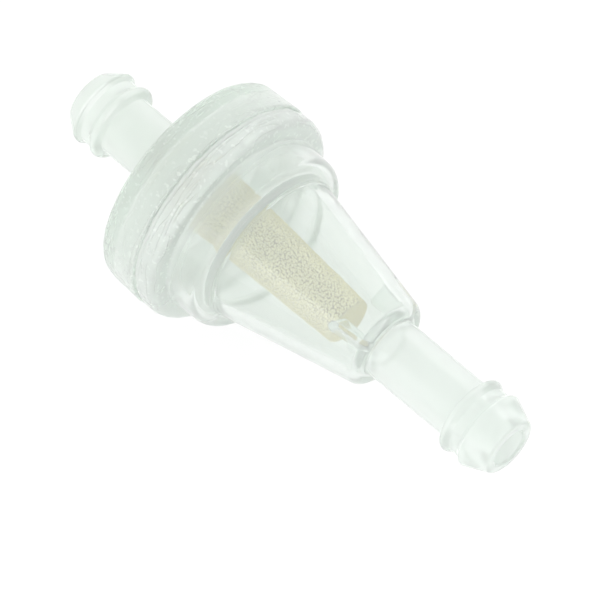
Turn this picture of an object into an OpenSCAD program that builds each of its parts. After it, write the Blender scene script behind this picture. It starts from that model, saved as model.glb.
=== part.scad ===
// In-line fuel filter for 1/4 inch hose. A clear bowl and a clear cap are cemented
// together, with a hollow cone of sintered bronze between them. X runs along the
// filter from the cap's nipple to the bowl's, and the origin is halfway along it.

/* [Hose nipples] */
// Bore through each nipple
bore_d = 4; // [3:0.1:4.4]
// Shank that the hose grips
shank_d = 6.4; // [6:0.1:6.8]
// Outside of the two barbs
barb_d = 8.3; // [7.8:0.1:9]
// Groove between the two barbs
groove_d = 7.5; // [7:0.1:7.6]
// Flat end of each nipple
tip_d = 6.3; // [5.8:0.1:6.6]
// Distance from one barb to the next
barb_pitch = 2.35; // [2.2:0.05:2.8]
// Tapered nose on the cap's nipple
cap_nose = 1.85; // [1.6:0.05:3]
// Tapered nose on the bowl's nipple
bowl_nose = 2.75; // [1.6:0.05:3.2]

/* [Lengths, from the cap's end] */
// Cap's nipple
cap_nipple_len = 13.3; // [11:0.1:18]
// Cap's rim
rim_len = 4.8; // [4.4:0.1:7]
// Line of cement between rim and flange
seam_len = 0.6; // [0.3:0.1:1]
// Bowl's flange
flange_len = 2.15; // [1.8:0.05:3]
// Wide drum between the flange and the shoulder's front
drum_len = 4.45; // [4:0.05:7]
// Cone, from the shoulder to its blunt end
cone_len = 15.7; // [14:0.1:24]
// Bowl's nipple
bowl_nipple_len = 16; // [12:0.1:20]

/* [Diameters] */
// Cap's rim at its front edge
rim_d = 24.1; // [23.6:0.1:26]
// Bowl's flange
flange_d = 24; // [23.6:0.1:26]
// Drum where it leaves the flange
drum_d = 20.1; // [19.8:0.1:20.6]
// Cone at the shoulder
cone_d = 16; // [15:0.1:16.4]
// Cone at its blunt end, before the edge is rounded
cone_end_d = 9.5; // [9:0.1:11]
// Wall of the bowl
wall = 1.15; // [0.9:0.05:1.4]
// Back plate of the cap
plate = 1.8; // [1.4:0.1:2.4]

/* [Filter element] */
// Outside of the element at its open end
element_d = 7.1; // [6.6:0.1:8]
// Outside of the element at its closed end
element_tip_d = 5.1; // [4.4:0.1:5.4]
// Length of the element
element_len = 21.05; // [18:0.05:21.1]
// Wall of the element
element_wall = 1.2; // [0.8:0.1:1.4]
// Lean of the element off the filter's axis, in degrees
element_lean = 1.8; // [0:0.1:1.9]
// Way that the element leans, in degrees about the axis
lean_way = -65; // [-180:5:180]

/* [Ribs in the end of the bowl] */
// How many ribs hold the element's closed end back
rib_count = 3; // [3:1:4]
// Thickness of a rib
rib_w = 1; // [0.8:0.1:1.4]
// Clear gap between the element's end and the ribs
rib_gap = 0.25; // [0.2:0.05:0.5]
// Angle of the first rib from the top
rib_angle = 48; // [0:1:119]

/* [Hidden] */
$fn = 96;

bore_r = bore_d / 2;
shank_r = shank_d / 2;
barb_r = barb_d / 2;
rim_r = rim_d / 2;
flange_r = flange_d / 2;
drum_r = drum_d / 2;
cone_r = cone_d / 2;

// Places along the axis
body_len = rim_len + seam_len + flange_len + drum_len + cone_len;
length = cap_nipple_len + body_len + bowl_nipple_len;
cap_tip = -length / 2;
cap_back = cap_tip + cap_nipple_len;
cap_front = cap_back + rim_len;
plate_front = cap_back + plate;
flange_back = cap_front + seam_len;
flange_front = flange_back + flange_len;
shoulder = flange_front + drum_len;
cone_end = shoulder + cone_len;
bowl_tip = cone_end + bowl_nipple_len;
rib_start = plate_front + element_len + rib_gap;

// Socket joint: the bowl's mouth slides inside the cap's rim
mouth_r = drum_r + 0.35;
joint_clearance = 0.05;
mouth_end = plate_front + 0.1;

// Collar that holds the element's open end
collar_len = 1.6;
collar_clearance = 0.08;
collar_r = element_d / 2 + collar_clearance;
collar_wall = 1.1;

// Draft of the drum and of the cap's rim, for moulding
draft = 0.15;

// Edge radii
tip_round = 0.45;
mouth_chamfer = 0.2;
front_barb_round = 0.25;
rear_barb_round = 0.45;
root_fillet = 0.3;
rim_back_round = 1.1;
rim_front_round = 0.2;
flange_front_round = 1;
flange_back_round = 0.2;
shoulder_round = 1.55;
cone_end_round = 1.15;
inner_round = 0.5;

// Taper of the cone
cone_angle = atan((cone_r - cone_end_d / 2) / cone_len);
element_angle = atan((element_d - element_tip_d) / 2 / element_len);

// Inside of the bowl
cone_wall = wall / cos(cone_angle);
step = shoulder - wall;
floor_x = cone_end - wall;
bore_chamfer = 0.3;

// Radius of the cone's outside at a place x on the axis
function cone_at(x) = cone_r - (x - shoulder) * tan(cone_angle);

// Arc in the plane of the axis and the radius, angles from +X towards +radius
function arc(centre, r, from, to, steps = 6) =
    [for (i = [0:steps]) centre + r * dir(from + (to - from) * i / steps)];

function dir(a) = [cos(a), sin(a)];

// Outside of a nipple as [distance in from its tip, radius], from tip to shank
function nipple_side(nose) =
    let (nose_angle = atan((barb_d - tip_d) / 2 / nose), rear = nose + barb_pitch)
    concat(
        [[0, bore_r + mouth_chamfer]],
        arc([tip_round, tip_d / 2 - tip_round], tip_round, 180, 90 + nose_angle, 4),
        arc([nose, barb_r - front_barb_round], front_barb_round, 90 + nose_angle, 20, 5),
        [[nose + 0.45, groove_d / 2], [rear - 0.75, groove_d / 2]],
        arc([rear, barb_r - rear_barb_round], rear_barb_round, 140, 10),
        [[rear + 0.6, shank_r]]
    );

// The same outline at its place, for a tip at x that faces +X (way 1) or -X (way -1)
function nipple_at(nose, x, way) = [for (p = nipple_side(nose)) [x - way * p[0], p[1]]];

function cap_outline() = concat(
    nipple_at(cap_nose, cap_tip, -1),
    arc([cap_back - root_fillet, shank_r + root_fillet], root_fillet, 270, 360, 4),
    arc([cap_back + rim_back_round, rim_r - draft - rim_back_round], rim_back_round, 180, 90, 8),
    arc([cap_front - rim_front_round, rim_r - rim_front_round], rim_front_round, 90, 0, 3),
    [
        [cap_front, mouth_r + joint_clearance],
        [plate_front, mouth_r + joint_clearance],
        [plate_front, collar_r + collar_wall],
        [plate_front + collar_len, collar_r + collar_wall],
        [plate_front + collar_len, collar_r + 0.2],
        [plate_front + collar_len - 0.2, collar_r],
        [plate_front, collar_r],
        [plate_front, bore_r],
        [cap_tip + mouth_chamfer, bore_r]
    ]
);

function bowl_outside() = concat(
    nipple_at(bowl_nose, bowl_tip, 1),
    arc([cone_end + root_fillet, shank_r + root_fillet], root_fillet, 270, 180, 4),
    arc(
        [cone_end - cone_end_round, cone_at(cone_end - cone_end_round) - cone_end_round / cos(cone_angle)],
        cone_end_round, 0, 90 - cone_angle, 8
    ),
    arc([shoulder + root_fillet, cone_r + root_fillet], root_fillet, 270 - cone_angle, 180, 4),
    arc([shoulder - shoulder_round, drum_r - draft - shoulder_round], shoulder_round, 0, 90, 8),
    arc([flange_front + root_fillet, drum_r + root_fillet], root_fillet, 270, 180, 4),
    arc([flange_front - flange_front_round, flange_r - flange_front_round], flange_front_round, 0, 90, 8),
    arc([flange_back + flange_back_round, flange_r - flange_back_round], flange_back_round, 90, 180, 3),
    [[flange_back, mouth_r], [mouth_end + 0.3, mouth_r], [mouth_end, mouth_r - 0.3]]
);

function bowl_inside() = concat(
    [[mouth_end, drum_r - wall]],
    arc([step - inner_round, drum_r - draft - wall - inner_round], inner_round, 90, 0, 5),
    arc(
        [step + inner_round, cone_at(step) - cone_wall + inner_round],
        inner_round, 180, 270 - cone_angle, 5
    ),
    arc(
        [floor_x - inner_round, cone_at(floor_x - inner_round) - cone_wall - inner_round / cos(cone_angle)],
        inner_round, 90 - cone_angle, 0, 5
    ),
    [
        [floor_x, bore_r + bore_chamfer],
        [floor_x + bore_chamfer, bore_r],
        [bowl_tip - mouth_chamfer, bore_r]
    ]
);

function element_outline() =
    let (r0 = element_d / 2, r1 = element_tip_d / 2, edge = 0.35, behind = 0.5)
    concat(
        [[-behind, r0 + behind * tan(element_angle)]],
        arc([element_len - edge, r1 - edge], edge, 90 - element_angle, 0, 4),
        [[element_len, 0], [element_len - element_wall, 0]],
        arc([element_len - element_wall - 0.6, r1 - element_wall - 0.6], 0.6, 0, 90 - element_angle, 4),
        [[-behind, r0 - element_wall + behind * tan(element_angle)]]
    );

// Turns an outline of [x, radius] points about the X axis
module turned(outline) {
    rotate([0, 90, 0])
        rotate_extrude()
            polygon([for (p = outline) [p[1], p[0]]]);
}

// One rib, standing from the bore's edge out into the cone's wall
module rib() {
    end = floor_x + wall / 3;
    rotate([90, 0, 0])
        linear_extrude(rib_w, center = true)
            polygon([
                [rib_start, bore_r + 0.5],
                [rib_start + 0.4, bore_r + 0.1],
                [end, bore_r + 0.1],
                [end, cone_at(end) - cone_wall / 2],
                [rib_start, cone_at(rib_start) - cone_wall / 2]
            ]);
}

module cap() {
    color([0.80, 0.88, 0.84, 0.45])
        turned(cap_outline());
}

module cement_ring() {
    bulge = 0.25;
    base_r = flange_r - 0.15 - bulge;
    half = seam_len / 2;
    color([0.90, 0.94, 0.92, 0.6])
        turned([
            [cap_front, mouth_r],
            [flange_back, mouth_r],
            [flange_back, base_r],
            [cap_front + half * 1.5, base_r + bulge * 0.8],
            [cap_front + half, base_r + bulge],
            [cap_front + half * 0.5, base_r + bulge * 0.8],
            [cap_front, base_r]
        ]);
}

module bowl() {
    color([0.86, 0.93, 0.90, 0.35])
        union() {
            turned(concat(bowl_outside(), bowl_inside()));
            for (i = [0:rib_count - 1])
                rotate([rib_angle + i * 360 / rib_count, 0, 0])
                    rib();
        }
}

module filter_element() {
    color([0.70, 0.60, 0.36])
        difference() {
            translate([plate_front, 0, 0])
                rotate([lean_way, 0, 0])
                    rotate([0, element_lean, 0])
                        turned(element_outline());
            translate([plate_front - 2, -element_d, -element_d])
                cube([2, element_d * 2, element_d * 2]);
        }
}

cap();
cement_ring();
bowl();
filter_element();
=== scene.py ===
"""A clear in-line fuel filter. A moulded cap and a moulded bowl are cemented together
round a hollow cone of sintered bronze, and each ends in a barbed nipple for a hose."""

import math
import random

import bmesh
import bpy
from mathutils import Matrix, Vector, kdtree, noise


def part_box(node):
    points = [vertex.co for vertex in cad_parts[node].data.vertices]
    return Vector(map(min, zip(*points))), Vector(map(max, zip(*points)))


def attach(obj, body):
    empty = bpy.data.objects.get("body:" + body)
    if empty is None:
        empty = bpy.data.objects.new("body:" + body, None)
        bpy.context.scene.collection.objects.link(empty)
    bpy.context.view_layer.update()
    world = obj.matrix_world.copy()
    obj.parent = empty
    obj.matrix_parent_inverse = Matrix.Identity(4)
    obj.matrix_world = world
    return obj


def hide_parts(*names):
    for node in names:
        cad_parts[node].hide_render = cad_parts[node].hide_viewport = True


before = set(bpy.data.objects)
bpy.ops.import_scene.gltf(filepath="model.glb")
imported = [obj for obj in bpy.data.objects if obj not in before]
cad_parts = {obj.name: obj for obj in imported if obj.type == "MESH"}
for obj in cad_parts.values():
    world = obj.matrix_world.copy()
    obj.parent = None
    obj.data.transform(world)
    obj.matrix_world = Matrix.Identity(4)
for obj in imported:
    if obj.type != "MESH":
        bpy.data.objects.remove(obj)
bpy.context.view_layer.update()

# The outlines below are in millimetres, as [place along X, radius], like the CAD model's.
MM = 0.001
SEED = 7


def places(node):
    """Where a CAD node starts and ends along X, and its largest radius, in millimetres."""
    low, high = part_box(node)
    return low.x / MM, high.x / MM, high.y / MM


CAP_TIP, CAP_FRONT, RIM_R = places("cap")
MOUTH_END, BOWL_TIP, FLANGE_R = places("bowl")
BEAD_BACK, BEAD_FRONT, BEAD_R = places("cement_ring")
PLATE_FRONT = places("filter_element")[0]

# Hose nipples
BORE_R = 2.0
SHANK_R = 3.2
BARB_R = 4.15
GROOVE_R = 3.75
TIP_R = 3.15
BARB_PITCH = 2.35
CAP_NOSE = 1.85
BOWL_NOSE = 2.75
TIP_ROUND = 0.45
BARB_ROUND = 0.25
GROOVE_ROUND = 0.12
GROOVE_PLACE = 0.65
REAR_HALF = 0.75
REAR_ROUND = 0.45
SHANK_ROUND = 0.15
ROOT_FILLET = 0.3

# Small rounds and chamfers on both mouldings
EDGE = 0.2
CHAMFER = 0.3

# Cap
RIM_LEN = 4.8
CAP_BACK = CAP_FRONT - RIM_LEN
COLLAR_LEN = 1.6
COLLAR_R = 3.63
COLLAR_WALL = 1.1
RIM_ROUND = 1.1
JOINT_GAP = 0.05

# Bowl
WALL = 1.15
DRUM_R = 10.05
MOUTH_R = DRUM_R + 0.35
DRAFT = 0.15
FLANGE_LEN = 2.15
DRUM_LEN = 4.45
CONE_LEN = 15.7
CONE_R = 8.0
CONE_END_R = 4.75
FLANGE_FRONT = BEAD_FRONT + FLANGE_LEN
SHOULDER = FLANGE_FRONT + DRUM_LEN
CONE_END = SHOULDER + CONE_LEN
FLANGE_ROUND = 1
SHOULDER_ROUND = 1.55
END_ROUND = 1.15
INNER_ROUND = 0.5
CONE_ANGLE = math.degrees(math.atan((CONE_R - CONE_END_R) / CONE_LEN))
CONE_WALL = WALL / math.cos(math.radians(CONE_ANGLE))
STEP = SHOULDER - WALL
FLOOR = CONE_END - WALL

# Ribs in the end of the bowl
RIB_COUNT = 3
RIB_W = 1.0
RIB_TURN = 48
RIB_ROUND = 0.48

# Filter element
ELEMENT_R = 3.55
ELEMENT_TIP_R = 2.55
ELEMENT_LEN = 21.05
ELEMENT_WALL = 1.2
ELEMENT_LEAN = 1.8
LEAN_WAY = -65
ELEMENT_EDGE = 0.12
SEAT_GAP = 0.1
ELEMENT_TURNS = 264
ELEMENT_ROWS = 250

# Its grains: how wide, how far between rings, how far out of line, and how round each one is
GRAIN = 0.22
RING_STEP = 0.87
STRAY = 0.3
ROUNDNESS = 0.56

# How light the grains are at least, how fast painted shade darkens them towards a gap, and how dark
# the faces without grains are painted, as shade
TONE = 0.9
PAINTED_CREVICE_SHADE = 1.35
PLAIN_PAINTED_SHADE = 0.5

# The ribs start a little beyond the element's tip
RIB_START = PLATE_FRONT + ELEMENT_LEN + 0.25

# Clear plastic. MATT is where it is cloudiest, and CLEAR is how much light goes through
CAP_TINT = (0.925, 0.98, 0.925)
BEAD_TINT = (0.96, 0.99, 0.97)
BOWL_TINT = (0.93, 0.98, 0.945)
MATT_TINT = (0.95, 1.0, 0.96)
CAP_CLEAR = 0.9
BOWL_CLEAR = 0.84
MATT_CLEAR = 0.5
CAP_ROUGH = 0.15
BEAD_ROUGH = 0.1
BOWL_ROUGH = 0.05
MATT_ROUGH = 0.1
MIST_ROUGH = 0.04
PLASTIC_IOR = 1.5
DEPTH_TINT = (0.76, 0.94, 0.81, 1)
DEPTH_DENSITY = 50

# Scuffs on the underside, from SCUFF_TOP down to SCUFF_FULL, and marks that the cement left
SCUFF_ROUGH = 0.25
SCUFF_TOP = -1.5
SCUFF_FULL = -4
VEIN_STRENGTH = 0.75
FLECK_CLOUD = 0.3

# How many waves of unevenness, mist, flecks and veins there are in a metre
WAVE_SCALE = 260
MIST_SCALE = 700
FLECK_SCALE = 2200
VEIN_SCALE = 1300

# How cloudy the cap and the bowl are, from 0 to 1, as [place along X, amount]
NIPPLE_CLOUD = 0.6
RIM_CLOUD = 0.45
FLANGE_CLOUD = 0.7
DRUM_CLOUD = 0.35
STEP_CLOUD = 0.2
CAP_CLOUDY = [
    (CAP_TIP, NIPPLE_CLOUD),
    (CAP_BACK - 1, NIPPLE_CLOUD),
    (CAP_BACK, RIM_CLOUD),
    (CAP_FRONT, RIM_CLOUD),
]
BEAD_CLOUDY = [(BEAD_BACK, 1), (BEAD_FRONT, 1)]
BOWL_CLOUDY = [
    (MOUTH_END, 0.0),
    (BEAD_BACK, FLANGE_CLOUD),
    (FLANGE_FRONT - 0.5, FLANGE_CLOUD),
    (FLANGE_FRONT + 0.5, DRUM_CLOUD),
    (FLANGE_FRONT + 2.2, DRUM_CLOUD / 3),
    (STEP - 0.4, 0.05),
    (STEP, STEP_CLOUD),
    (SHOULDER, STEP_CLOUD),
    (SHOULDER + 0.4, 0.0),
    (FLOOR - 1, 0.0),
    (CONE_END, NIPPLE_CLOUD / 2),
    (CONE_END + 1, NIPPLE_CLOUD),
    (BOWL_TIP, NIPPLE_CLOUD),
]

# Where cement ran over the cap and the bowl, from 0 to 1, as [place along X, amount]
CAP_FLOW = [
    (CAP_TIP, 0),
    (CAP_BACK - 0.1, 0),
    (CAP_BACK + 0.5, 1),
    (CAP_BACK + 1.3, 0.6),
    (CAP_BACK + 2, 0.2),
    (CAP_FRONT - 1, 0.3),
    (CAP_FRONT, 1),
]
BOWL_FLOW = [
    (MOUTH_END, 0),
    (BEAD_BACK, 1),
    (FLANGE_FRONT, 1),
    (FLANGE_FRONT + 0.3, 0),
    (BOWL_TIP, 0),
]

# Sintered bronze
# The first colour is painted shade, for the gaps between grains and the plain faces; the second is
# the grains' own pale gold.
PAINTED_SHADE_COLOUR = (0.24, 0.19, 0.165, 1)
GRAIN_COLOUR = (1.0, 0.92, 0.54, 1)
BRONZE_ROUGH = 0.35
SHEEN = 0.8
SHEEN_ROUGH = 0.7
SHEEN_TINT = (1, 0.8, 0.1, 1)

# Floor, sky and softboxes, in metres and watts
FLOOR_HALF = 1.5
FLOOR_BASE = 0.2
FLOOR_GLOW = 0.84
HORIZON_SKY = 1.0
ZENITH_SKY = 0.95
SOFTBOX = 0.6
FLOOR_ROUGH = 0.8
FRONT_POWER = 1.25
FRONT_PLACE = (0.05, -0.58, 0.15)
BACK_POWER = 0.8
BACK_PLACE = (-0.05, 0.55, 0.3)
GAMMA = 1.5

# Camera: how far round and up it stands in degrees, how far off in metres, and its lens and aim in mm
CAMERA_ROUND = 45
CAMERA_UP = 57.2
CAMERA_AWAY = 0.6
CAMERA_LENS = 374
CAMERA_AIM = (1.97, -1.52, -1.54)


# ---------------------------------------------------------------- outlines

def arc(x, r, radius, start, end, fine=7):
    """Points on an arc about [x, r], with angles in degrees from +X towards +radius."""
    steps = max(3, round(abs(end - start) / fine))
    turns = [math.radians(start + (end - start) * i / steps) for i in range(steps + 1)]
    return [(x + radius * math.cos(t), r + radius * math.sin(t)) for t in turns]


def line(x1, r1, x2, r2, step=0.2):
    """Points between two ends, without the ends."""
    count = max(1, round(math.hypot(x2 - x1, r2 - r1) / step))
    return [(x1 + (x2 - x1) * i / count, r1 + (r2 - r1) * i / count) for i in range(1, count)]


def cone_at(x):
    """Radius of the cone's outside at x."""
    return CONE_R - (x - SHOULDER) * math.tan(math.radians(CONE_ANGLE))


def nipple(nose, tip, way):
    """Outside of a nipple, from its tip to its shank, for a tip that faces +X (1) or -X (-1)."""
    slope = math.degrees(math.atan((BARB_R - TIP_R) / nose))
    rear = nose + BARB_PITCH
    side = [(0, BORE_R + EDGE)]
    side += arc(TIP_ROUND, TIP_R - TIP_ROUND, TIP_ROUND, 180, 90 + slope)
    side += arc(nose, BARB_R - BARB_ROUND, BARB_ROUND, 90 + slope, 20)
    side += arc(nose + GROOVE_PLACE, GROOVE_R + GROOVE_ROUND, GROOVE_ROUND, 230, 270)
    side += arc(rear - REAR_HALF, GROOVE_R + GROOVE_ROUND, GROOVE_ROUND, 270, 310)
    side += arc(rear, BARB_R - REAR_ROUND, REAR_ROUND, 140, 10)
    side += arc(rear + REAR_HALF, SHANK_R + SHANK_ROUND, SHANK_ROUND, 200, 270)
    return [(tip - way * x, r) for x, r in side]


def cap_outline():
    """The cap's section: nipple, back face, rim, inside of the rim, plate, collar and bore."""
    side = nipple(CAP_NOSE, CAP_TIP, -1)
    side += arc(CAP_BACK - ROOT_FILLET, SHANK_R + ROOT_FILLET, ROOT_FILLET, 270, 360)
    side += arc(CAP_BACK + RIM_ROUND, RIM_R - DRAFT - RIM_ROUND, RIM_ROUND, 180, 90, 5)
    side += line(CAP_BACK + RIM_ROUND, RIM_R - DRAFT, CAP_FRONT - EDGE, RIM_R)
    side += arc(CAP_FRONT - EDGE, RIM_R - EDGE, EDGE, 90, 0)
    inside = MOUTH_R + JOINT_GAP
    side += [(CAP_FRONT, inside)]
    side += arc(PLATE_FRONT + EDGE, inside - EDGE, EDGE, 90, 180)
    outside = COLLAR_R + COLLAR_WALL
    side += arc(PLATE_FRONT + EDGE, outside + EDGE, EDGE, 180, 270)
    side += arc(PLATE_FRONT + COLLAR_LEN - EDGE, outside - EDGE, EDGE, 90, 0)
    side += [(PLATE_FRONT + COLLAR_LEN, COLLAR_R + EDGE)]
    side += [(PLATE_FRONT + COLLAR_LEN - EDGE, COLLAR_R), (PLATE_FRONT, COLLAR_R)]
    side += [(PLATE_FRONT, BORE_R), (CAP_TIP + EDGE, BORE_R)]
    return side


def bowl_outline():
    """The bowl's whole section: the outside and then the inside."""
    return bowl_outside() + bowl_inside()


def bowl_outside():
    """The bowl's section from its nipple's tip to its mouth, along the outside."""
    side = nipple(BOWL_NOSE, BOWL_TIP, 1)
    side += arc(CONE_END + ROOT_FILLET, SHANK_R + ROOT_FILLET, ROOT_FILLET, 270, 180)
    slant = math.cos(math.radians(CONE_ANGLE))
    corner = CONE_END - END_ROUND
    side += arc(corner, cone_at(corner) - END_ROUND / slant, END_ROUND, 0, 90 - CONE_ANGLE)
    side += arc(SHOULDER + ROOT_FILLET, CONE_R + ROOT_FILLET, ROOT_FILLET, 270 - CONE_ANGLE, 180)
    side += arc(SHOULDER - SHOULDER_ROUND, DRUM_R - DRAFT - SHOULDER_ROUND, SHOULDER_ROUND, 0, 90)
    side += arc(FLANGE_FRONT + ROOT_FILLET, DRUM_R + ROOT_FILLET, ROOT_FILLET, 270, 180)
    side += arc(FLANGE_FRONT - FLANGE_ROUND, FLANGE_R - FLANGE_ROUND, FLANGE_ROUND, 0, 90)
    side += line(FLANGE_FRONT - FLANGE_ROUND, FLANGE_R, BEAD_FRONT + EDGE, FLANGE_R)
    side += arc(BEAD_FRONT + EDGE, FLANGE_R - EDGE, EDGE, 90, 180)
    side += [(BEAD_FRONT, MOUTH_R), (MOUTH_END + CHAMFER, MOUTH_R), (MOUTH_END, MOUTH_R - CHAMFER)]
    return side


def bowl_inside():
    """The bowl's section from its mouth to its nipple's tip, along the inside."""
    slant = math.cos(math.radians(CONE_ANGLE))
    corner = FLOOR - INNER_ROUND
    side = [(MOUTH_END, DRUM_R - WALL)]
    side += arc(STEP - INNER_ROUND, DRUM_R - DRAFT - WALL - INNER_ROUND, INNER_ROUND, 90, 0)
    side += arc(STEP + INNER_ROUND, cone_at(STEP) - CONE_WALL + INNER_ROUND, INNER_ROUND,
                180, 270 - CONE_ANGLE)
    side += arc(corner, cone_at(corner) - CONE_WALL - INNER_ROUND / slant, INNER_ROUND,
                90 - CONE_ANGLE, 0)
    side += [(FLOOR, BORE_R + CHAMFER), (FLOOR + CHAMFER, BORE_R), (BOWL_TIP - EDGE, BORE_R)]
    return side


# ---------------------------------------------------------------- meshes

def add_object(name, data):
    made = bpy.data.objects.new(name, data)
    bpy.context.scene.collection.objects.link(made)
    return made


def revolve(name, outline, segments, moved=None):
    """Turns a closed outline about X. moved(x, r, angle) may return a slightly different [x, r]."""
    verts = []
    for x, r in outline:
        for k in range(segments):
            angle = 2 * math.pi * k / segments
            px, pr = moved(x, r, angle) if moved else (x, r)
            verts.append((px * MM, pr * math.cos(angle) * MM, pr * math.sin(angle) * MM))
    rings = len(outline)
    faces = []
    for i in range(rings):
        for k in range(segments):
            a = i * segments + k
            b = i * segments + (k + 1) % segments
            c = (i + 1) % rings * segments + (k + 1) % segments
            d = (i + 1) % rings * segments + k
            faces.append((a, b, c, d))
    mesh = bpy.data.meshes.new(name)
    mesh.from_pydata(verts, [], faces)
    made = add_object(name, mesh)
    outward(made)
    return made


def outward(piece):
    """Makes every face of a closed piece look outwards."""
    shape = bmesh.new()
    shape.from_mesh(piece.data)
    bmesh.ops.recalc_face_normals(shape, faces=shape.faces)
    shape.to_mesh(piece.data)
    shape.free()


def smooth(piece, limit=32):
    """Smooth shading, with a sharp edge wherever two faces meet at more than limit degrees."""
    shape = bmesh.new()
    shape.from_mesh(piece.data)
    for face in shape.faces:
        face.smooth = True
    for edge in shape.edges:
        if len(edge.link_faces) == 2 and edge.calc_face_angle(0) > math.radians(limit):
            edge.smooth = False
    shape.to_mesh(piece.data)
    shape.free()


def applied(piece):
    """Applies a piece's modifiers to its mesh."""
    seen = piece.evaluated_get(bpy.context.evaluated_depsgraph_get())
    mesh = bpy.data.meshes.new_from_object(seen)
    piece.modifiers.clear()
    piece.data = mesh


def merge_close(piece, gap):
    """Merges corners that lie less than gap mm apart."""
    shape = bmesh.new()
    shape.from_mesh(piece.data)
    bmesh.ops.remove_doubles(shape, verts=shape.verts, dist=gap * MM)
    shape.to_mesh(piece.data)
    shape.free()


def finish_piece(piece, node, material):
    """Gives a piece its material and its body, and hides the CAD node that it replaces."""
    piece.data.materials.clear()
    piece.data.materials.append(material)
    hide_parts(node)
    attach(piece, "root")


# ---------------------------------------------------------------- cap, bead and bowl

def between(x, start, end):
    """0 before start, 1 after end, and smooth between."""
    t = min(max((x - start) / (end - start), 0), 1)
    return t * t * (3 - 2 * t)


def ripple(x, angle, r, size, seed):
    """Smooth noise on a round surface, about -1 to 1. size is the length of a wave in mm."""
    spot = Vector((x, r * math.cos(angle), r * math.sin(angle))) / size
    return noise.noise(spot + Vector((seed, 0, 0)))


def seam(angle):
    """How far the cemented seam wanders along X, in mm."""
    return 0.09 * ripple(0, angle, 12, 1.6, SEED) + 0.05 * ripple(0, angle, 12, 0.5, SEED)


def cap_moved(x, r, angle):
    """The rim has a lumpy, pitted line near its back edge, and soft waves on its skirt."""
    on_rim = between(r, 9.5, 11)
    lumps = ripple(x, angle, r, 1.4, SEED) * 0.5 + 0.5
    back = 1 - between(x, CAP_BACK + 1.0, CAP_BACK + 2.2)
    flecks = between(ripple(x * 1.5, angle, r, 0.32, SEED + 1), 0.15, 0.45)
    near_line = max(0, 1 - abs(x - CAP_BACK - 0.75) / 0.55)
    waves = ripple(x * 3, angle, r, 2.2, SEED + 2) * 0.5 - 0.5
    dip = 0.1 * back * lumps + 0.09 * near_line * flecks - 0.03 * waves
    shift = seam(angle) * between(x, CAP_FRONT - 0.8, CAP_FRONT) * between(r, MOUTH_R, MOUTH_R + 0.1)
    return x + min(shift, 0), r - dip * on_rim


def bowl_moved(x, r, angle):
    """The flange is ripply where the cement ran, and its back edge follows the seam."""
    on_flange = between(r, MOUTH_R + 0.4, FLANGE_R - 0.3)
    on_flange *= 1 - between(x, FLANGE_FRONT - 0.3, FLANGE_FRONT)
    waves = ripple(x * 0.8, angle, r * 0.25, 0.45, SEED + 5) * 0.7
    waves += ripple(x, angle, r, 0.6, SEED + 6) * 0.3
    shift = seam(angle) * (1 - between(x, BEAD_FRONT, BEAD_FRONT + 0.8))
    shift *= between(r, MOUTH_R, MOUTH_R + 0.1)
    return x + max(shift, 0), r + on_flange * (0.1 * waves - 0.06)


def make_cap(material):
    cap = revolve("clear_cap", cap_outline(), 360, cap_moved)
    smooth(cap)
    finish_piece(cap, "cap", material)


def bead_moved(x, r, angle):
    """Cement squeezed out of the joint stands proud by a different amount all round."""
    on_face = between(r, MOUTH_R + 0.2, BEAD_R - 0.5)
    lumps = ripple(x, angle, r, 1.1, SEED + 3) + 0.5 * ripple(x, angle, r, 0.4, SEED + 4)
    return x + bead_shift(x, angle) * on_face, r + on_face * (0.12 * lumps - 0.12)


def bead_shift(x, angle):
    """The bead leans with the seam, and stays between the cap's and the flange's edges."""
    middle = (BEAD_BACK + BEAD_FRONT) / 2
    return min(seam(angle), 0) if x < middle else max(seam(angle), 0)


def make_bead(material):
    gap = 0.015
    back = BEAD_BACK + gap
    front = BEAD_FRONT - gap
    half = (front - back) / 2
    side = [(back, MOUTH_R + 0.02), (front, MOUTH_R + 0.02)]
    side += arc(back + half, BEAD_R - half, half, 0, 180)
    bead = revolve("cement_bead", side, 360, bead_moved)
    smooth(bead)
    finish_piece(bead, "cement_ring", material)


def make_rib(index):
    """One rib, from the bore's edge out into the cone's wall."""
    end = FLOOR + WALL / 3
    side = [
        (RIB_START, BORE_R + 0.1),
        (end, BORE_R + 0.1),
        (end, cone_at(end) - CONE_WALL / 2),
        (RIB_START, cone_at(RIB_START) - CONE_WALL / 2),
    ]
    count = len(side)
    verts = [(x * MM, y * MM, r * MM) for y in (-RIB_W / 2, RIB_W / 2) for x, r in side]
    faces = [tuple(range(count)), tuple(range(2 * count - 1, count - 1, -1))]
    faces += [(i, i + count, (i + 1) % count + count, (i + 1) % count) for i in range(count)]
    mesh = bpy.data.meshes.new("rib")
    mesh.from_pydata(verts, [], faces)
    rib = add_object("rib_%d" % index, mesh)
    outward(rib)
    rounded = rib.modifiers.new("round", "BEVEL")
    rounded.width = RIB_ROUND * MM
    rounded.segments = 8
    applied(rib)
    rib.data.transform(Matrix.Rotation(math.radians(RIB_TURN + index * 360 / RIB_COUNT), 4, "X"))
    return rib


def make_bowl(material):
    bowl = revolve("clear_bowl", bowl_outline(), 320, bowl_moved)
    ribs = [make_rib(i) for i in range(RIB_COUNT)]
    for rib in ribs:
        joined = bowl.modifiers.new("join", "BOOLEAN")
        joined.operation = "UNION"
        joined.object = rib
    applied(bowl)
    for rib in ribs:
        bpy.data.objects.remove(rib)
    merge_close(bowl, 0.001)
    smooth(bowl)
    finish_piece(bowl, "bowl", material)


# ---------------------------------------------------------------- filter element

def element_r(x):
    """Radius of the element at x mm from its seat."""
    return ELEMENT_R + (ELEMENT_TIP_R - ELEMENT_R) * x / ELEMENT_LEN


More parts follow.
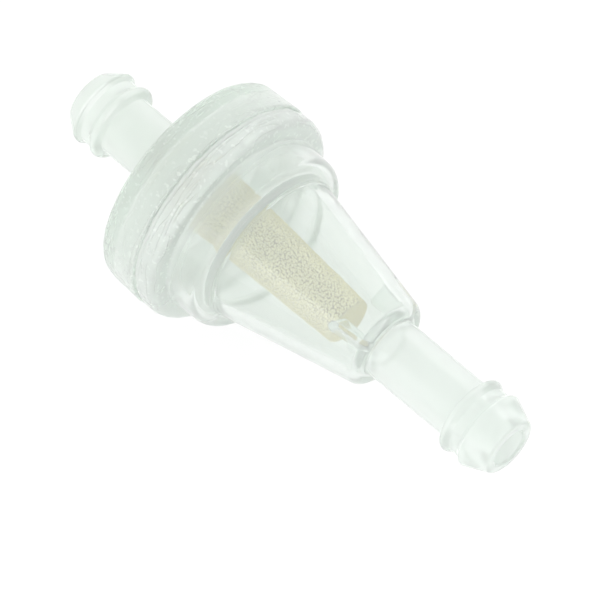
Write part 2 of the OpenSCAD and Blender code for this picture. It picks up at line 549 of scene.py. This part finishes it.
def grain_centres(rng):
    """Centres of the grains: rings round the element, each grain a little out of line."""
    centres = []
    rings = round(ELEMENT_LEN / (GRAIN * RING_STEP))
    for i in range(rings + 1):
        x = ELEMENT_LEN * i / rings
        r = element_r(x)
        count = round(2 * math.pi * r / GRAIN)
        first = rng.random()
        for k in range(count):
            angle = 2 * math.pi * (k + first + rng.uniform(-STRAY, STRAY)) / count
            along = x + rng.uniform(-STRAY, STRAY) * GRAIN
            centres.append((along, r * math.cos(angle), r * math.sin(angle)))
    return centres


def element_side():
    """Outside of the element from its seat to its tip, and how many of its points have grains."""
    end = ELEMENT_LEN
    edge = ELEMENT_EDGE
    side = [(end * i / ELEMENT_ROWS, element_r(end * i / ELEMENT_ROWS)) for i in range(ELEMENT_ROWS)]
    side = [p for p in side if p[0] < end - edge]
    slope = math.degrees(math.atan((ELEMENT_R - ELEMENT_TIP_R) / ELEMENT_LEN))
    side += arc(end - edge, ELEMENT_TIP_R - edge, edge, 90 - slope, 0, 14)
    grained = len(side) - 4
    side += [(end, r) for r in (1.8, 1.2, 0.6)]
    return side, grained


def element_inside():
    """The straight hollow in the element, from its seat to its floor."""
    end = ELEMENT_LEN
    side = [(0, ELEMENT_R - ELEMENT_WALL), (end * 0.5, element_r(end * 0.5) - ELEMENT_WALL)]
    return side + [(end - ELEMENT_WALL, ELEMENT_TIP_R - ELEMENT_WALL)]


def grain_surface(side, grained):
    """Corners and tones of the outside. Each grain stands out as a dome, and painted shade darkens it
    towards its edge; the sunk flat end is painted darker the same way.
    """
    rng = random.Random(SEED)
    centres = grain_centres(rng)
    tones = [rng.random() for _ in centres]
    tree = kdtree.KDTree(len(centres))
    for i, centre in enumerate(centres):
        tree.insert(centre, i)
    tree.balance()
    verts, tone_and_painted_shade = [], []
    grain_r = GRAIN * ROUNDNESS
    for i, (x, r) in enumerate(side):
        for k in range(ELEMENT_TURNS):
            angle = 2 * math.pi * k / ELEMENT_TURNS
            c, s = math.cos(angle), math.sin(angle)
            _, which, away = tree.find((x, r * c, r * s))
            lift = math.sqrt(max(grain_r ** 2 - away ** 2, 0)) - grain_r if i < grained else -0.06
            verts.append((x, (r + lift) * c, (r + lift) * s))
            # The random tone is each grain's own; the factor after it is painted shade, darkest in
            # the gaps between grains and on the sunk flat end.
            tone_and_painted_shade.append((TONE + (1 - TONE) * tones[which]) * max(1 + PAINTED_CREVICE_SHADE * lift / grain_r, 0))
    return verts, tone_and_painted_shade


def make_element(material):
    """The hollow cone of grains. It is open at the cap and closed at its tip."""
    turns = ELEMENT_TURNS
    side, grained = element_side()
    verts, tone_and_painted_shade = grain_surface(side, grained)
    faces = rings_of_faces(0, len(side), turns)
    tip = len(verts)
    verts.append((ELEMENT_LEN, 0, 0))
    last = (len(side) - 1) * turns
    faces += [(last + k, last + (k + 1) % turns, tip) for k in range(turns)]

    inner = element_inside()
    first = len(verts)
    for x, r in inner:
        for k in range(turns):
            angle = 2 * math.pi * k / turns
            verts.append((x, r * math.cos(angle), r * math.sin(angle)))
    faces += rings_of_faces(first, len(inner), turns)
    faces += [(k, first + k, first + (k + 1) % turns, (k + 1) % turns) for k in range(turns)]
    floor = len(verts)
    verts.append((ELEMENT_LEN - ELEMENT_WALL, 0, 0))
    last = first + (len(inner) - 1) * turns
    faces += [(last + (k + 1) % turns, last + k, floor) for k in range(turns)]
    # The faces without grains, inside the hollow and at the middle of the flat end, are painted
    # darker, as shade.
    tone_and_painted_shade += [PLAIN_PAINTED_SHADE] * (len(verts) - len(tone_and_painted_shade))

    mesh = bpy.data.meshes.new("sintered_element")
    mesh.from_pydata([Vector(v) * MM for v in verts], [], faces)
    # The stored tone holds the grains' random tone together with the painted shade.
    mesh.attributes.new("grain_tone_and_painted_shade", "FLOAT", "POINT").data.foreach_set("value", tone_and_painted_shade)
    element = add_object("sintered_element", mesh)
    outward(element)
    lean = Matrix.Rotation(math.radians(LEAN_WAY), 4, "X")
    lean = lean @ Matrix.Rotation(math.radians(ELEMENT_LEAN), 4, "Y")
    element.data.transform(Matrix.Translation(((PLATE_FRONT + SEAT_GAP) * MM, 0, 0)) @ lean)
    smooth(element, 75)
    finish_piece(element, "filter_element", material)


def rings_of_faces(first, rings, segments):
    """Faces between rings of corners that follow each other from the one called first."""
    faces = []
    for i in range(rings - 1):
        for k in range(segments):
            a = first + i * segments + k
            b = first + i * segments + (k + 1) % segments
            faces.append((a, b, b + segments, a + segments))
    return faces


# ---------------------------------------------------------------- materials

def new_material(name):
    material = bpy.data.materials.new(name)
    material.use_nodes = True
    nodes = material.node_tree.nodes
    return material, nodes, material.node_tree.links, nodes["Principled BSDF"]


def mapped(nodes, links, source, start, end, low, high):
    """Maps a value from start..end to low..high, and holds it there outside."""
    part = nodes.new("ShaderNodeMapRange")
    part.inputs["From Min"].default_value = start
    part.inputs["From Max"].default_value = end
    part.inputs["To Min"].default_value = low
    part.inputs["To Max"].default_value = high
    links.new(source, part.inputs["Value"])
    return part.outputs["Result"]


def added(nodes, links, a, b):
    """The sum of two values."""
    part = nodes.new("ShaderNodeMath")
    links.new(a, part.inputs[0])
    links.new(b, part.inputs[1])
    return part.outputs["Value"]


def multiplied(nodes, links, a, b):
    """The product of two values."""
    part = nodes.new("ShaderNodeMath")
    part.operation = "MULTIPLY"
    links.new(a, part.inputs[0])
    links.new(b, part.inputs[1])
    return part.outputs["Value"]


def profile(nodes, links, source, stops):
    """A smooth line through [x in mm, value] stops."""
    start, end = stops[0][0], stops[-1][0]
    along = mapped(nodes, links, source, start * MM, end * MM, 0, 1)
    ramp = nodes.new("ShaderNodeValToRGB")
    line = ramp.color_ramp
    while len(line.elements) < len(stops):
        line.elements.new(0.5)
    for i, (x, value) in enumerate(stops):
        line.elements[i].position = (x - start) / (end - start)
    for i, (x, value) in enumerate(stops):
        line.elements[i].color = (value, value, value, 1)
    links.new(along, ramp.inputs["Fac"])
    return ramp.outputs["Color"]


def cloud(nodes, links, place, scale, detail=2):
    """Cloudy noise from 0 to 1, with scale waves in a metre."""
    part = nodes.new("ShaderNodeTexNoise")
    part.inputs["Scale"].default_value = scale
    part.inputs["Detail"].default_value = detail
    links.new(place, part.inputs["Vector"])
    return part.outputs["Fac"]


def moulded(nodes, links, place):
    """The soft unevenness of a moulded surface."""
    bump = nodes.new("ShaderNodeBump")
    bump.inputs["Strength"].default_value = 0.25
    bump.inputs["Distance"].default_value = 0.0002
    links.new(cloud(nodes, links, place, WAVE_SCALE), bump.inputs["Height"])
    return bump


def veins(nodes, links, place, along, flow, under):
    """Thin wavy lines that run round the part where flow is high, on top of the bump called under."""
    stretch = nodes.new("ShaderNodeMapping")
    stretch.inputs["Scale"].default_value = (1, 0.14, 0.14)
    links.new(place, stretch.inputs["Vector"])
    waves = cloud(nodes, links, stretch.outputs["Vector"], VEIN_SCALE, 1)
    rise = mapped(nodes, links, waves, 0.46, 0.5, 0, 1)
    fall = mapped(nodes, links, waves, 0.5, 0.54, 1, 0)
    both = multiplied(nodes, links, rise, fall)
    height = multiplied(nodes, links, both, profile(nodes, links, along, flow))
    bump = nodes.new("ShaderNodeBump")
    bump.inputs["Strength"].default_value = VEIN_STRENGTH
    bump.inputs["Distance"].default_value = 0.0001
    links.new(height, bump.inputs["Height"])
    links.new(under.outputs["Normal"], bump.inputs["Normal"])
    return bump


def clear_plastic(name, tint, clear, rough, cloudy, flow=None):
    """Clear plastic that is cloudy as the stops in cloudy say, and marked where cement ran over it.

    clear is how much light it lets through where it isn't cloudy, and rough its roughness there.
    """
    material, nodes, links, shader = new_material(name)
    shader.inputs["IOR"].default_value = PLASTIC_IOR
    place = nodes.new("ShaderNodeTexCoord").outputs["Object"]
    split = nodes.new("ShaderNodeSeparateXYZ")
    links.new(place, split.inputs["Vector"])
    matt = profile(nodes, links, split.outputs["X"], cloudy)
    if flow:
        specks = cloud(nodes, links, place, FLECK_SCALE, 1)
        spots = mapped(nodes, links, specks, 0.6, 0.68, 0, FLECK_CLOUD)
        near = profile(nodes, links, split.outputs["X"], flow)
        matt = added(nodes, links, matt, multiplied(nodes, links, spots, near))
    mist = cloud(nodes, links, place, MIST_SCALE, 4)
    fine = mapped(nodes, links, mist, 0.35, 0.75, rough, rough + MIST_ROUGH)
    frost = mapped(nodes, links, matt, 0, 1, 0, MATT_ROUGH)
    scuffs = mapped(nodes, links, split.outputs["Z"], SCUFF_TOP * MM, SCUFF_FULL * MM, 0, SCUFF_ROUGH)
    grain = added(nodes, links, fine, frost)
    links.new(added(nodes, links, grain, scuffs), shader.inputs["Roughness"])
    clarity = mapped(nodes, links, matt, 0, 1, clear, MATT_CLEAR)
    links.new(clarity, shader.inputs["Transmission Weight"])
    ramp = nodes.new("ShaderNodeValToRGB")
    ramp.color_ramp.elements[0].color = (*tint, 1)
    ramp.color_ramp.elements[1].color = (*MATT_TINT, 1)
    links.new(matt, ramp.inputs["Fac"])
    links.new(ramp.outputs["Color"], shader.inputs["Base Color"])
    bump = moulded(nodes, links, place)
    if flow:
        bump = veins(nodes, links, place, split.outputs["X"], flow, bump)
    links.new(bump.outputs["Normal"], shader.inputs["Normal"])
    inside = nodes.new("ShaderNodeVolumeAbsorption")
    inside.inputs["Color"].default_value = DEPTH_TINT
    inside.inputs["Density"].default_value = DEPTH_DENSITY
    links.new(inside.outputs["Volume"], nodes["Material Output"].inputs["Volume"])
    return material


def bronze(name):
    """Sintered bronze: pale gold grains that differ a little at random, with painted shade in the
    gaps between them, from the tone and shade stored on the mesh.
    """
    material, nodes, links, shader = new_material(name)
    shader.inputs["Metallic"].default_value = 1
    shader.inputs["Roughness"].default_value = BRONZE_ROUGH
    shader.inputs["Sheen Weight"].default_value = SHEEN
    shader.inputs["Sheen Tint"].default_value = SHEEN_TINT
    shader.inputs["Sheen Roughness"].default_value = SHEEN_ROUGH
    # Reads the grains' random tone together with the painted shade in their gaps.
    tone_and_painted_shade = nodes.new("ShaderNodeAttribute")
    tone_and_painted_shade.attribute_name = "grain_tone_and_painted_shade"
    ramp = nodes.new("ShaderNodeValToRGB")
    ramp.color_ramp.elements[0].color = PAINTED_SHADE_COLOUR
    ramp.color_ramp.elements[1].color = GRAIN_COLOUR
    links.new(tone_and_painted_shade.outputs["Fac"], ramp.inputs["Fac"])
    links.new(ramp.outputs["Color"], shader.inputs["Base Color"])
    return material


# ---------------------------------------------------------------- floor, lights and camera

def make_stage():
    """A pale floor that glows softly, like a light table, and touches the rim."""
    mesh = bpy.data.meshes.new("floor")
    half = FLOOR_HALF
    corners = [(-half, -half), (half, -half), (half, half), (-half, half)]
    mesh.from_pydata([(x, y, -RIM_R * MM) for x, y in corners], [], [(0, 1, 2, 3)])
    floor = add_object("floor", mesh)
    material, nodes, links, shader = new_material("pale_floor")
    shader.inputs["Base Color"].default_value = (FLOOR_BASE, FLOOR_BASE, FLOOR_BASE, 1)
    shader.inputs["Roughness"].default_value = FLOOR_ROUGH
    shader.inputs["Emission Color"].default_value = (1, 1, 1, 1)
    shader.inputs["Emission Strength"].default_value = FLOOR_GLOW
    floor.data.materials.append(material)


def softbox(name, place, power):
    """A square softbox that faces the filter."""
    light = bpy.data.lights.new(name, "AREA")
    light.size = SOFTBOX
    light.energy = power
    made = add_object(name, light)
    made.location = place
    made.rotation_euler = (-Vector(place)).to_track_quat("-Z", "Y").to_euler()


def make_sky():
    """A white sky that is a little brighter at the horizon than overhead."""
    world = bpy.data.worlds.new("studio")
    world.use_nodes = True
    nodes, links = world.node_tree.nodes, world.node_tree.links
    split = nodes.new("ShaderNodeSeparateXYZ")
    links.new(nodes.new("ShaderNodeTexCoord").outputs["Generated"], split.inputs["Vector"])
    strength = mapped(nodes, links, split.outputs["Z"], 0.2, 0.9, HORIZON_SKY, ZENITH_SKY)
    sky = nodes["Background"]
    sky.inputs["Color"].default_value = (1, 1, 1, 1)
    links.new(strength, sky.inputs["Strength"])
    bpy.context.scene.world = world


def make_lights():
    make_sky()
    softbox("softbox_front", FRONT_PLACE, FRONT_POWER)
    softbox("softbox_back", BACK_PLACE, BACK_POWER)


def make_camera():
    """Looks down at the filter from beyond the bowl's nipple, with a long lens."""
    turn = math.radians(CAMERA_ROUND)
    rise = math.radians(CAMERA_UP)
    back = Vector((
        math.sin(turn) * math.cos(rise),
        -math.cos(turn) * math.cos(rise),
        math.sin(rise),
    ))
    lens = bpy.data.cameras.new("camera")
    lens.lens = CAMERA_LENS
    lens.sensor_width = 36
    lens.clip_start = 0.01
    camera = add_object("camera", lens)
    camera.location = Vector(CAMERA_AIM) * MM + back * CAMERA_AWAY
    camera.rotation_euler = back.to_track_quat("Z", "Y").to_euler()
    bpy.context.scene.camera = camera


def set_look():
    """Light paths long enough for the many walls of clear plastic, and a bright, soft tone."""
    scene = bpy.context.scene
    scene.view_settings.view_transform = "Standard"
    scene.view_settings.gamma = GAMMA
    scene.cycles.max_bounces = 32
    scene.cycles.transmission_bounces = 32
    scene.cycles.glossy_bounces = 16
    scene.cycles.diffuse_bounces = 12


cap_plastic = clear_plastic("clear_cap", CAP_TINT, CAP_CLEAR, CAP_ROUGH, CAP_CLOUDY, CAP_FLOW)
bead_plastic = clear_plastic("clear_cement", BEAD_TINT, CAP_CLEAR, BEAD_ROUGH, BEAD_CLOUDY)
bowl_plastic = clear_plastic("clear_bowl", BOWL_TINT, BOWL_CLEAR, BOWL_ROUGH, BOWL_CLOUDY, BOWL_FLOW)
make_cap(cap_plastic)
make_bead(bead_plastic)
make_bowl(bowl_plastic)
make_element(bronze("sintered_bronze"))
make_stage()
make_lights()
make_camera()
set_look()
